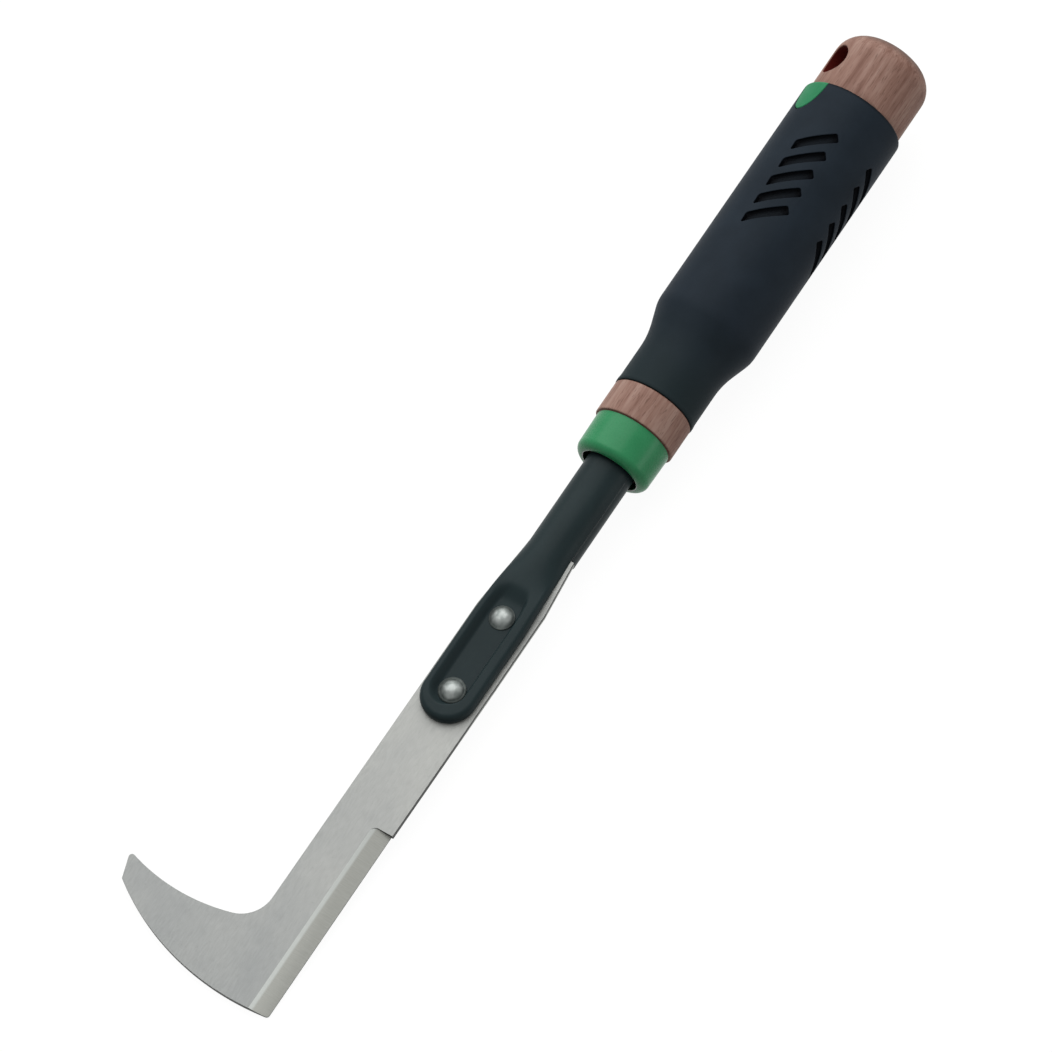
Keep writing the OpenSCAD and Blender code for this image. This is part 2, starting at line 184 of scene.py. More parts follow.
inner_turn = throat_touch - bearing(inner_centre, pen.co)
pen = drawn_round(blade, pen, inner_centre, inner_turn, inner_steps)
pen = drawn_round(blade, pen, throat, 1.5 * math.pi - throat_touch, throat_steps)
for place in ((waist_x, waist_y), (blade_l, tail_high_y)):
    pen = drawn_to(blade, pen, (*place, 0))
blade.edges.new((pen, start))
bmesh.ops.remove_doubles(blade, verts=blade.verts, dist=merge_gap)
bmesh.ops.contextual_create(blade, geom=blade.edges)
bmesh.ops.translate(blade, verts=blade.verts, vec=(0, 0, seat_z - blade_t))
raised = bmesh.ops.extrude_face_region(blade, geom=blade.faces)["geom"]
bmesh.ops.translate(blade, vec=(0, 0, blade_t), verts=parts(raised, bmesh.types.BMVert))
bmesh.ops.recalc_face_normals(blade, faces=blade.faces)

# What the wheel takes off: its flat side lies on the slope, and its worn corner rounds the end.
wheel_corner, wheel_w, wheel_t = 2.0, 20.0, 6.0
slope = math.atan2(blade_t - edge_t, ground_w)
wheel = bmesh.new()
bmesh.ops.create_cube(wheel, size=1)
bmesh.ops.scale(wheel, vec=(ground_l + wheel_w, wheel_w, wheel_t), verts=wheel.verts)
bmesh.ops.translate(wheel, vec=((ground_l - wheel_w) / 2, -wheel_w / 2, wheel_t / 2),
                    verts=wheel.verts)
worn = [edge for edge in wheel.edges
        if all(v.co.x > 0 and v.co.y > -wheel_w / 2 for v in edge.verts)]
bmesh.ops.bevel(wheel, geom=worn, affect="EDGES", offset=wheel_corner, segments=10, profile=0.5,
                material=-1)
bmesh.ops.rotate(wheel, cent=(0, 0, 0), matrix=Matrix.Rotation(slope, 3, "X"), verts=wheel.verts)
bmesh.ops.translate(wheel, vec=(0, edge_y + ground_w, seat_z), verts=wheel.verts)
blade = carved(blade, wheel)


def linear(colour):
    """A hex colour as Blender's linear red, green, blue and alpha."""
    shares = [int(colour[k:k + 2], 16) / 255 for k in (1, 3, 5)]
    return [s / 12.92 if s <= 0.04045 else ((s + 0.055) / 1.055) ** 2.4 for s in shares] + [1]


def add(tree, kind, inputs=None, stops=(), **settings):
    """Adds a node, sets its options, links or sets each input by its name or number, and gives a
    colour ramp its stops, each a position and a hex colour."""
    made = tree.nodes.new("ShaderNode" + kind)
    for name, value in settings.items():
        setattr(made, name, value)
    for name, value in (inputs or {}).items():
        if isinstance(value, bpy.types.NodeSocket):
            tree.links.new(value, made.inputs[name])
        else:
            made.inputs[name].default_value = value
    if stops:
        points = made.color_ramp.elements
        while len(points) < len(stops):
            points.new(1)
        for point, (position, colour) in zip(points, stops):
            point.position, point.color = position, linear(colour)
    return made


def new_finish(name, **uniform):
    """A material with one principled shader, whose uniform values are set on its own sockets."""
    finish = bpy.data.materials.new(name)
    finish.use_nodes = True
    finish.node_tree.nodes.clear()
    shader = add(finish.node_tree, "BsdfPrincipled",
                 {name.replace("_", " "): value for name, value in uniform.items()})
    add(finish.node_tree, "OutputMaterial", {"Surface": shader.outputs[0]})
    return finish, finish.node_tree, shader


def along_tool(tree, stretch=(1, 1, 1)):
    """Object coordinates turned back to the tool's own axis, in millimetres over a stretch."""
    place = Matrix.Rotation(rest_tilt, 3, "Y") @ (-1000 * Vector(hole_mount["pos_m"]))
    turned = add(tree, "Mapping", {
        "Vector": add(tree, "TexCoord").outputs["Object"], "Scale": (1000, 1000, 1000),
        "Rotation": (0, rest_tilt, 0), "Location": place + Vector((hole_x, 0, 0))})
    return add(tree, "Mapping", {"Vector": turned.outputs[0],
                                 "Scale": [1 / s for s in stretch]}).outputs[0]


def mottled(tree, size, stretch=(1, 1, 1), detail=3):
    """An uneven pattern over the tool, in patches about as large as size, in millimetres, times a
    stretch along the tool, across it and up."""
    patches = {"Vector": along_tool(tree, [size * s for s in stretch]), "Scale": 1,
               "Detail": detail, "Roughness": 0.55}
    return add(tree, "TexNoise", patches).outputs[0]


def surfaced(tree, shader, pattern, depth, gloss=None):
    """Lets a surface rise and fall with a pattern, by a depth in millimetres, and lets its
    roughness run from one value to another with it."""
    relief = {"Height": pattern, "Distance": depth / 1000, "Strength": 1}
    tree.links.new(add(tree, "Bump", relief).outputs[0], shader.inputs["Normal"])
    if gloss:
        spread = add(tree, "MapRange", {0: pattern, 1: 0.3, 2: 0.7, 3: gloss[0], 4: gloss[1]})
        tree.links.new(spread.outputs[0], shader.inputs["Roughness"])


def rolled_steel():
    """Spring steel strip, rolled and tumbled: grey and satin, with faint clouds and pits, and a
    little lighter away from the hook, painted light that stands in for the lamp's brighter
    reflection there."""
    finish, tree, shader = new_finish("rolled spring steel", Metallic=0.7)
    place = add(tree, "SeparateXYZ", {0: along_tool(tree)}).outputs
    # Painted light: the tone rises away from the hook, standing in for the lamp's reflection, which
    # is brighter towards the tube.
    along = add(tree, "MapRange", {0: place["X"], 1: 5, 2: 105, 3: -0.3, 4: 0.3}).outputs[0]
    tone = add(tree, "Math", {0: mottled(tree, 16, (1.8, 1, 1)), 1: along}, operation="ADD")
    tint = add(tree, "ValToRGB", {0: tone.outputs[0]}, stops=((0.1, "#7A7C7B"), (0.9, "#898A87")))
    speck = add(tree, "MapRange", {0: mottled(tree, 1.1, detail=2), 1: 0.69, 2: 0.75, 3: 0, 4: 0.3})
    worn = add(tree, "Mix", {0: speck.outputs[0], "A": tint.outputs[0], "B": linear("#6E706E")},
               data_type="RGBA")
    tree.links.new(worn.outputs["Result"], shader.inputs["Base Color"])
    surfaced(tree, shader, mottled(tree, 0.5, (6, 1, 1)), 0.004, (0.5, 0.6))
    return finish


def ground_steel():
    """The same steel fresh from the wheel: scratches across the edge, drawn coarser than real ones
    so that they show, a little warmer, and with a painted highlight: a paler band along the top of
    the slope, where the wheel ran out."""
    finish, tree, shader = new_finish("ground spring steel", Metallic=0.7)
    scratch = mottled(tree, 0.25, (1, 14, 14))
    tint = add(tree, "ValToRGB", {0: scratch}, stops=((0.3, "#7D7E79"), (0.7, "#8A8B86")))
    place = add(tree, "SeparateXYZ", {0: along_tool(tree)}).outputs
    # Painted highlight: a paler band along the top of the slope, where it meets the flat face and
    # catches the light.
    highlight_band_y = edge_y + ground_w - highlight_band_w
    rubbed = add(tree, "MapRange", {0: place["Y"], 1: highlight_band_y - 0.3, 2: highlight_band_y + 0.3})
    highlighted = add(tree, "Mix", {0: rubbed.outputs[0], "A": tint.outputs[0], "B": linear("#979A97")},
               data_type="RGBA")
    tree.links.new(highlighted.outputs["Result"], shader.inputs["Base Color"])
    surfaced(tree, shader, scratch, 0.006, (0.5, 0.6))
    return finish


def blanked_steel():
    """The strip's blanked edge: dark where the punch tore it on top and burnished bright below
    that, partly painted shade on top and a painted highlight below. The torn part is deeper along
    the hook."""
    finish, tree, shader = new_finish("blanked spring steel", Metallic=0.6, Roughness=0.6)
    place = add(tree, "SeparateXYZ", {0: along_tool(tree)}).outputs
    torn = add(tree, "MapRange", {0: place["X"], 1: 85, 2: 110, 3: 1.6, 4: 0.8}).outputs[0]
    tear = mottled(tree, 0.8, (2, 2, 0.6))
    ragged = add(tree, "Math", {0: tear, 1: 0.5, 2: place["Z"]}, operation="MULTIPLY_ADD")
    height = add(tree, "Math", {0: ragged.outputs[0], 1: torn}, operation="ADD").outputs[0]
    # Dark on top and bright below: partly the torn and burnished bands, partly painted shade and a
    # painted highlight.
    share = add(tree, "MapRange", {0: height, 1: seat_z - 0.4, 2: seat_z - 0.15}).outputs[0]
    tint = add(tree, "ValToRGB", {0: share}, stops=((0, "#B4B6B2"), (1, "#454644")))
    tree.links.new(tint.outputs[0], shader.inputs["Base Color"])
    surfaced(tree, shader, tear, 0.02)
    return finish


sharp, corner_soft = 0.7, 0.15
slope_normal = Vector((0, -math.sin(slope), math.cos(slope)))
for face in blade.faces:
    face.normal_update()
    if face.normal.dot(slope_normal) > 0.999 and face.calc_center_median().y < edge_y + ground_w:
        face.material_index = 1
    elif abs(face.normal.z) < 0.1:
        face.material_index = 2
corners = [edge for edge in blade.edges if edge.is_manifold and edge.calc_face_angle() > sharp]
bmesh.ops.bevel(blade, geom=corners, affect="EDGES", offset=corner_soft, segments=2, profile=0.5,
                material=-1, clamp_overlap=True)
weighted(finished(blade, "hooked_blade",
                  [rolled_steel(), ground_steel(), blanked_steel()], "blade"))


# Shank tube: steel tube, 15.6 mm, in satin black lacquer. One end is pressed down over the blade,
# with a channel along its middle that takes the rivets. The other is glued and pinned in the wood.

tube_r, wall = 7.8, 1.4
step_x, tube_end_x = 167.0, 298.2
tongue_x, tongue_r, rim_z = 102.9, 8.75, 6.4
bead_r, foot_tuck = 1.8, 0.2
narrow_from, rise_from, round_from = 139.0, 146.0, 166.0
channel_r, channel_from, channel_to, ramp_l = 4.0, 113.2, 145.0, 6.5
closing_from = 140.0
floor_z, channel_lean, hook_side_lean = 4.4, 1.2, 3.0
bore_depth = 30.0
path_steps, fold_steps, across_steps, under_steps = 160, 4, 40, 48
closer_at_rim = 1.2
weld_gap, level_gap = 0.004, 0.001


def smooth_step(t):
    """Rises from 0 to 1 with level ends."""
    t = min(max(t, 0.0), 1.0)
    return t * t * (3 - 2 * t)


def blend(a, b, t):
    """A value part of the way from a to b."""
    return a + (b - a) * t


def bead_z(inset):
    """Height of the pressed end's rounded rim, this far in from its outline."""
    edge = 1 - min(inset / bead_r, 1)
    return rim_z - bead_r + bead_r * math.sqrt(max(1 - edge * edge, 0))


def pressed(x, q):
    """Half-width and height across the pressed end, with q from its rim to its crown. Its
    rounded slab turns into the tube's circle on the way to the step."""
    turn = (1 - q) * math.acos(seat_z / tube_r)
    narrowed = min(max((x - narrow_from) / (step_x - narrow_from), 0), 1)
    y = blend(tongue_r * (1 - q), tube_r * math.sin(turn), narrowed)
    z = blend(bead_z(q * tongue_r), tube_r * math.cos(turn),
              smooth_step((x - rise_from) / (round_from - rise_from)))
    return y, z


def channelled(x, y, z):
    """The height once the channel is pressed in: a flat floor with leaning walls, which narrows
    and rises to the full tube."""
    ahead = min(max(x - channel_to, 0) / ramp_l, 1)
    closed = min(max(x - closing_from, 0) / (channel_to + ramp_l - closing_from), 1)
    half = channel_r * math.sqrt(1 - closed ** 2)
    out = math.hypot(min(x - channel_from, 0), y) - half
    lean = blend(channel_lean, hook_side_lean, smooth_step((y / channel_r + 1) / 2))
    floor_share = 1 - smooth_step(out / (lean * (1 + ahead)))
    return blend(z, floor_z, floor_share * (1 - smooth_step(ahead)))


# One grid covers the pressed end: its X goes round the rim, from the step past the tip and back,
# and its Y goes from the folded foot over the bead to the middle.
tube = bmesh.new()
bmesh.ops.create_grid(tube, x_segments=path_steps, y_segments=fold_steps + across_steps, size=0.5)
tip_centre_x = tongue_x + tongue_r
tip_arc = tongue_r * math.pi / 2
path_l = tip_arc + step_x - tip_centre_x
for vert in tube.verts:
    side = -1 if vert.co.x < 0 else 1
    ahead = abs(vert.co.x) * 2 * path_l
    row = round((vert.co.y + 0.5) * (fold_steps + across_steps)) - fold_steps
    q = max(row / across_steps, 0) ** closer_at_rim
    if ahead < tip_arc:
        rim = Vector((tip_centre_x - tongue_r * math.cos(ahead / tongue_r),
                      tongue_r * math.sin(ahead / tongue_r)))
        spot = rim.lerp(Vector((channel_from, 0)), q)
        x, y, z = spot.x, spot.y, bead_z((spot - rim).length)
        inwards = (Vector((tip_centre_x, 0)) - rim).normalized()
    else:
        x = tip_centre_x + ahead - tip_arc
        y, z = pressed(x, q)
        x = blend(x, max(x, channel_from), q)
        inwards = Vector((0, -1))
    if row < 0:
        fold = -row / fold_steps * math.pi / 2
        height = z - seat_z
        z -= height * math.sin(fold)
        tuck = foot_tuck * height / (rim_z - bead_r - seat_z) * (1 - math.cos(fold))
        x, y = x + inwards.x * tuck, y + inwards.y * tuck
    else:
        z = channelled(x, side * y, z)
    vert.co = (x, side * y, z)
bmesh.ops.remove_doubles(tube, verts=tube.verts, dist=weld_gap)


def at_x(bm, x):
    """The open edges that lie in one plane across the tool."""
    return [edge for edge in bm.edges if edge.is_boundary
            and all(abs(vert.co.x - x) < level_gap for vert in edge.verts)]


# The full tube starts at the step, where the part of its circle below the blade is added.
crown_edges = at_x(tube, step_x)
crown_verts = sorted({vert for edge in crown_edges for vert in edge.verts}, key=lambda v: v.co.y)
under = 2 * math.pi - 2 * math.acos(seat_z / tube_r)
bmesh.ops.spin(tube, geom=[crown_verts[0]], cent=(step_x, 0, 0), axis=(1, 0, 0), dvec=(0, 0, 0),
               angle=under, steps=under_steps, use_duplicate=False)
bmesh.ops.remove_doubles(tube, verts=tube.verts, dist=weld_gap)
ring = at_x(tube, step_x) + [edge for edge in tube.edges if edge.is_wire]
grown = bmesh.ops.extrude_edge_only(tube, edges=ring)["geom"]
bmesh.ops.translate(tube, vec=(tube_end_x - step_x, 0, 0), verts=parts(grown, bmesh.types.BMVert))
far_face = bmesh.ops.contextual_create(tube, geom=parts(grown, bmesh.types.BMEdge))["faces"][0]

# The sheet closes under the pressed end, and both ends of the tube are open.
chord = tube.edges.new([v for v in tube.verts if abs(v.co.x - step_x) < level_gap
                        and abs(v.co.z - seat_z) < level_gap])
foot = [edge for edge in tube.edges if edge.is_boundary and all(
    abs(v.co.z - seat_z) <= weld_gap and v.co.x < step_x + level_gap for v in edge.verts)]
bmesh.ops.contextual_create(tube, geom=foot + [chord])
near_face = bmesh.ops.contextual_create(tube, geom=at_x(tube, step_x))["faces"][0]
bmesh.ops.recalc_face_normals(tube, faces=tube.faces)
for face, depth in ((near_face, bore_depth), (far_face, -bore_depth)):
    bmesh.ops.inset_region(tube, faces=[face], thickness=wall)
    deep = bmesh.ops.extrude_face_region(tube, geom=[face])["geom"]
    bmesh.ops.translate(tube, vec=(depth, 0, 0), verts=parts(deep, bmesh.types.BMVert))
    bmesh.ops.delete(tube, geom=[face], context="FACES_ONLY")


def crevice_shade(tree, tint, dark, reach):
    """A colour painted darker in grooves and holes, as painted shade where less light reaches. The
    reach is how far a wall darkens, in millimetres."""
    # Painted shade: the colour darkens by ambient occlusion.
    hidden = add(tree, "AmbientOcclusion", {"Distance": reach / 1000}, samples=12, only_local=True)
    share = add(tree, "MapRange", {0: hidden.outputs["AO"], 1: 0.6, 2: 0.95, 3: 1, 4: 0}).outputs[0]
    mixed = add(tree, "Mix", {0: share, "A": tint, "B": linear(dark)}, data_type="RGBA")
    return mixed.outputs["Result"]


def black_lacquer():
    """Black stove lacquer on steel: satin, with the faint ripple of a sprayed coat, and painted
    shade in the corners of the channel."""
    finish, tree, shader = new_finish("black stove lacquer", Metallic=0.0, IOR=1.5,
                                      Specular_IOR_Level=0.08)
    cloud = mottled(tree, 9, (2, 1, 1))
    tint = add(tree, "ValToRGB", {0: cloud}, stops=((0.3, "#1F2A2C"), (0.7, "#253133")))
    # Painted shade: the corners of the channel are painted darker.
    tree.links.new(crevice_shade(tree, tint.outputs[0], "#1B2326", 2.0), shader.inputs["Base Color"])
    surfaced(tree, shader, mottled(tree, 0.7), 0.006, (0.36, 0.46))
    return finish


weighted(finished(tube, "pressed_tube", [black_lacquer()], "shank_tube"))


# Rivets: two soft steel rivets, 4 mm, with domed heads in the channel, each on a thin flange that
# the set has squeezed out. Their other ends are closed flatter, on the blade's back.

rivet_places = ((113.2, 3.75, 4.25), (140.2, 3.7, 3.95))
rivet_r = 2.0
head_h, tail_h = 2.1, 1.2
flange_t, flange_fall, flange_soft = 0.35, 0.07, 0.1
rivet_sides = 48


def turned(outline, sides):
    """A turned shape round the tool's axis, from an outline of (x, radius) points."""
    bm = bmesh.new()
    points = [bm.verts.new((x, 0, r)) for x, r in outline]
    lines = [bm.edges.new(pair) for pair in zip(points, points[1:])]
    bmesh.ops.spin(bm, geom=points + lines, cent=(0, 0, 0), axis=(1, 0, 0), dvec=(0, 0, 0),
                   angle=2 * math.pi, steps=sides, use_merge=True, use_duplicate=False)
    bmesh.ops.remove_doubles(bm, verts=bm.verts, dist=merge_gap)
    return bm


def dome(base, r, h, steps=10):
    """The outline of a dome, from its pole to its foot, by its foot's place, radius and height."""
    ball = (r * r + h * h) / (2 * abs(h))
    half = math.asin(r / ball)
    side = 1 if h > 0 else -1
    turns = [half * k / steps for k in range(steps + 1)]
    return [(base + h - side * ball * (1 - math.cos(t)), ball * math.sin(t)) for t in turns]


def rivet(x, head_r, flange_r):
    """A closed rivet, standing along Z, by its place and the radii of its head and flange."""
    flange_z = floor_z + flange_t
    outline = dome(flange_z, head_r, head_h - flange_t)
    outline += [(flange_z - flange_fall, flange_r), (floor_z + flange_soft, flange_r),
                (floor_z, flange_r - flange_soft), (floor_z, rivet_r), (seat_z - blade_t, rivet_r)]
    outline += dome(seat_z - blade_t, head_r, -tail_h)[::-1]
    bm = turned(outline, rivet_sides)
    upright = Matrix.Rotation(-math.pi / 2, 3, "Y")
    bmesh.ops.rotate(bm, cent=(0, 0, 0), matrix=upright, verts=bm.verts)
    bmesh.ops.translate(bm, vec=(x, 0, 0), verts=bm.verts)
    return bm


def joined(shapes):
    """Several shapes in one bmesh."""
    whole = bmesh.new()
    for shape in shapes:
        mesh = bpy.data.meshes.new("part")
        shape.to_mesh(mesh)
        shape.free()
        whole.from_mesh(mesh)
        bpy.data.meshes.remove(mesh)
    return whole


def rivet_steel():
    """Tumbled mild steel, painted bright on top of the head and grey down its side as painted light
    falling from above, with soft dents from the rivet set."""
    finish, tree, shader = new_finish("tumbled mild steel", Metallic=0.85)
    cloud = mottled(tree, 2.2, detail=1)
    place = add(tree, "SeparateXYZ", {0: along_tool(tree)}).outputs
    # Painted light: the head is painted brighter by its height, as if lit from above, and greyer
    # down its side.
    top = add(tree, "MapRange", {0: place["Z"], 1: floor_z + 0.3, 2: floor_z + head_h,
                                 3: -0.35, 4: 0.35}).outputs[0]
    worn = add(tree, "Math", {0: cloud, 1: top}, operation="ADD").outputs[0]
    tint = add(tree, "ValToRGB", {0: worn},
               stops=((0.2, "#4F5553"), (0.55, "#6C716F"), (0.85, "#868A88")))
    tree.links.new(tint.outputs[0], shader.inputs["Base Color"])
    rubbed = add(tree, "MapRange", {0: worn, 1: 0.2, 2: 0.8, 3: 0.52, 4: 0.42})
    tree.links.new(rubbed.outputs[0], shader.inputs["Roughness"])
    surfaced(tree, shader, cloud, 0.12)
    return finish


finished(joined(rivet(*place) for place in rivet_places), "rivets", [rivet_steel()],
         "blade_rivets")


# Ferrule: a drawn steel cup, 25 mm, in green enamel. Its open end is pressed over the wood's
# spigot, and the tube comes out of its turned-in mouth, whose lip is painted as grey steel for
# the glints of light on its rounding.

ferrule_x, collar_x = 198.2, 211.4
ferrule_r, ferrule_rim_r = 12.35, 12.55
ferrule_turn, ferrule_wall, lip_r, lip_l, rim_soft = 2.7, 0.8, 0.3, 1.2, 0.15
mouth_r = ferrule_r - ferrule_turn
ferrule_sides = 128


def arc(centre, r, start, end, steps):
    """Points along an arc, by its centre, radius and bearings in degrees."""
    turns = [math.radians(start + (end - start) * k / steps) for k in range(steps + 1)]
    return [(centre[0] + r * math.cos(t), centre[1] + r * math.sin(t)) for t in turns]


cup = arc((ferrule_x + lip_r, mouth_r), lip_r, 270, 180, 6)
cup += arc((ferrule_x + ferrule_turn, mouth_r), ferrule_turn, 180, 90, 14)[1:]
cup += [(collar_x - rim_soft, ferrule_rim_r), (collar_x, ferrule_rim_r - rim_soft),
        (collar_x, ferrule_rim_r - ferrule_wall)]
cup += arc((ferrule_x + ferrule_turn, mouth_r), ferrule_turn - ferrule_wall, 90, 180, 10)
cup += [(ferrule_x + lip_l, mouth_r - lip_r + ferrule_wall), (ferrule_x + lip_l, mouth_r - lip_r),
        cup[0]]


def lip_glint_steel():
    """Grey, smooth steel on the mouth's lip, a painted highlight that stands in for the glints on
    its rounding.
    """
    finish, tree, shader = new_finish("lip glint steel", Metallic=0.7)
    cloud = mottled(tree, 2, (3, 1, 1))
    tint = add(tree, "ValToRGB", {0: cloud}, stops=((0.3, "#8E918E"), (0.7, "#959895")))
    tree.links.new(tint.outputs[0], shader.inputs["Base Color"])
    rubbed = add(tree, "MapRange", {0: cloud, 1: 0.3, 2: 0.7, 3: 0.42, 4: 0.5})
    tree.links.new(rubbed.outputs[0], shader.inputs["Roughness"])
    return finish


def green_enamel():
    """Green enamel over steel: smooth, thick and even, with a soft shine and a faint orange
    peel."""
    finish, tree, shader = new_finish("green enamel", Metallic=0.0, IOR=1.5,
                                      Specular_IOR_Level=0.14)
    tint = add(tree, "ValToRGB", {0: mottled(tree, 6)}, stops=((0.3, "#2E8253"), (0.7, "#35895A")))
    tree.links.new(tint.outputs[0], shader.inputs["Base Color"])
    surfaced(tree, shader, mottled(tree, 0.6), 0.006, (0.24, 0.32))
    return finish


ferrule = turned(cup, ferrule_sides)
# Painted highlight: the faces of the mouth's lip take the grey steel finish for the glints on it.
for face in ferrule.faces:
    middle = face.calc_center_median()
    if middle.x < ferrule_x + lip_r and math.hypot(middle.y, middle.z) < mouth_r:
        face.material_index = 1
weighted(finished(ferrule, "ferrule_cup", [green_enamel(), lip_glint_steel()],
                  "ferrule"))


# Handle: hardwood, turned and oiled red-brown. A spigot takes the ferrule, a recess takes the grip
# and a hole square through the butt hangs the tool up. The tube is glued into its bore.

grip_x, grip_end_x, butt_x = 222.8, 336.2, 359.5
neck_end_x, body_x = 236.2, 253.7
butt_r, butt_round = 15.65, 8.0
hole_r, hole_turn, hole_soft = 5.25, math.radians(-50), 0.5
collar_r, spigot_r, neck_seat_r, body_seat_r = 13.3, 11.65, 12.0, 15.0
spigot_inset, glue_gap, joint_gap, arris = 3.5, 0.05, 0.15, 0.35
sheet_t, drill_l, round_steps = 2.0, 6.0, 96
largest_cut_wall = 60.0


def stations(outline):
    """The distance along an outline to each of its points."""
    reach = [0.0]
    for near, far in zip(outline, outline[1:]):
        reach.append(reach[-1] + math.dist(near, far))
    return reach


def flat_sheet(outline, full_r, depth, seam):
    """A flat plate as long as an outline and as wide as the handle is round, its face at z = 0."""
    bm = bmesh.new()
    bmesh.ops.create_cube(bm, size=1)
    long, wide = stations(outline)[-1], 2 * math.pi * full_r
    bmesh.ops.scale(bm, vec=(long, wide, depth), verts=bm.verts)
    bmesh.ops.translate(bm, vec=(long / 2, wide / 2 + seam * full_r, -depth / 2), verts=bm.verts)
    return bm


def opened(bm):
    """Takes the back and the four sides off a flat plate and leaves its worked face."""
    spans = [(min(v.co[k] for v in bm.verts), max(v.co[k] for v in bm.verts)) for k in range(3)]
    outer = [face for face in bm.faces if any(
        all(abs(v.co[k] - spans[k][end]) < 1e-4 for v in face.verts)
        for k, end in ((0, 0), (0, 1), (1, 0), (1, 1), (2, 0)))]
    bmesh.ops.delete(bm, geom=outer, context="FACES")


def sliced(bm, place, across):
    """Cuts every face where a plane passes."""
    bmesh.ops.bisect_plane(bm, geom=bm.verts[:] + bm.edges[:] + bm.faces[:], dist=0.001,
                           plane_co=place, plane_no=across)


def rolled(bm, outline, full_r, seam):
    """Rolls a flat plate round the handle. Its X follows the outline, its Y goes round from the
    riveted side away from the hook, and its Z goes straight in."""
    reach = stations(outline)
    for s in reach[1:-1]:
        sliced(bm, (s, 0, 0), (1, 0, 0))
    for k in range(1, round_steps):
        sliced(bm, (0, (seam + 2 * math.pi * k / round_steps) * full_r, 0), (0, 1, 0))
    for vert in bm.verts:
        k = 0
        while k < len(reach) - 2 and vert.co.x > reach[k + 1] + 1e-6:
            k += 1
        t = min((vert.co.x - reach[k]) / (reach[k + 1] - reach[k]), 1)
        x, r = (blend(a, b, t) for a, b in zip(outline[k], outline[k + 1]))
        r = min(r, full_r + vert.co.z)
        turn = vert.co.y / full_r
        vert.co = (x, -r * math.sin(turn), r * math.cos(turn))
    bmesh.ops.remove_doubles(bm, verts=bm.verts, dist=weld_gap)


def carried(bm, rim, places):
    """Carries an open rim on through (x, radius) places and returns the last one."""
    for x, r in places:
        grown = bmesh.ops.extrude_edge_only(bm, edges=rim)["geom"]
        rim = parts(grown, bmesh.types.BMEdge)
        for vert in parts(grown, bmesh.types.BMVert):
            side = Vector((0, vert.co.y, vert.co.z)).normalized()
            vert.co = (x, side.y * r, side.z * r)
    return rim


def softened(bm, offset, segments):
    """Rounds the rims of what was cut into a flat plate's face, whose walls are smaller than the
    plate's own sides."""
    rims = []
    for edge in bm.edges:
        walls = [face for face in edge.link_faces if abs(face.normal.z) < 0.5]
        on_face = all(abs(v.co.z) < 1e-4 for v in edge.verts)
        if on_face and len(walls) == 1 and walls[0].calc_area() < largest_cut_wall:
            rims.append(edge)
    bmesh.ops.bevel(bm, geom=rims, affect="EDGES", offset=offset, segments=segments, profile=0.5,
                    material=-1, clamp_overlap=False)


butt = [(grip_end_x, butt_r), (butt_x - butt_round, butt_r)]
butt += arc((butt_x - butt_round, butt_r - butt_round), butt_round, 90, 0, 12)[1:] + [(butt_x, 0)]
seam = math.radians(40)
wood = flat_sheet(butt, butt_r, sheet_t, seam)
drill = bmesh.new()
for turn in (hole_turn, hole_turn + math.pi):
    turn = (turn - seam) % (2 * math.pi) + seam
    rod = bmesh.ops.create_cone(drill, cap_ends=True, segments=48, radius1=hole_r, radius2=hole_r,
                                depth=drill_l)["verts"]
    for vert in rod:
        vert.co.y = butt_r * math.asin(vert.co.y / butt_r)
    bmesh.ops.translate(drill, vec=(hole_x - grip_end_x, turn * butt_r, 0), verts=rod)
wood = carved(wood, drill)
softened(wood, hole_soft, 4)
opened(wood)
rolled(wood, butt, butt_r, seam)

# The two mouths of the hole are true circles round its axis, and the bore joins them.
rim = at_x(wood, grip_end_x)
mouths = [edge for edge in wood.edges if edge.is_boundary and edge not in rim]
hole_out = Vector((0, -math.sin(hole_turn), math.cos(hole_turn)))
hole_at = Vector((hole_x, 0, 0))
for vert in {v for edge in mouths for v in edge.verts}:
    deep = (vert.co - hole_at).dot(hole_out) * hole_out
    vert.co = hole_at + deep + (vert.co - hole_at - deep).normalized() * hole_r
bmesh.ops.bridge_loops(wood, edges=mouths)

# The rim goes on along the grip's seat, over the collar and the spigot, and back in as the bore.
bore_r = tube_r + glue_gap
collar_from, collar_to = collar_x + joint_gap, grip_x - joint_gap
rim = carried(wood, rim, [
    (grip_end_x, body_seat_r), (body_x, body_seat_r), (neck_end_x, neck_seat_r),
    (collar_to, neck_seat_r), (collar_to, collar_r - arris), (collar_to - arris, collar_r),
    (collar_from + arris, collar_r), (collar_from, collar_r - arris), (collar_from, spigot_r),
    (ferrule_x + spigot_inset, spigot_r), (ferrule_x + spigot_inset, bore_r),
    (tube_end_x + glue_gap, bore_r)])
bmesh.ops.contextual_create(wood, geom=rim)


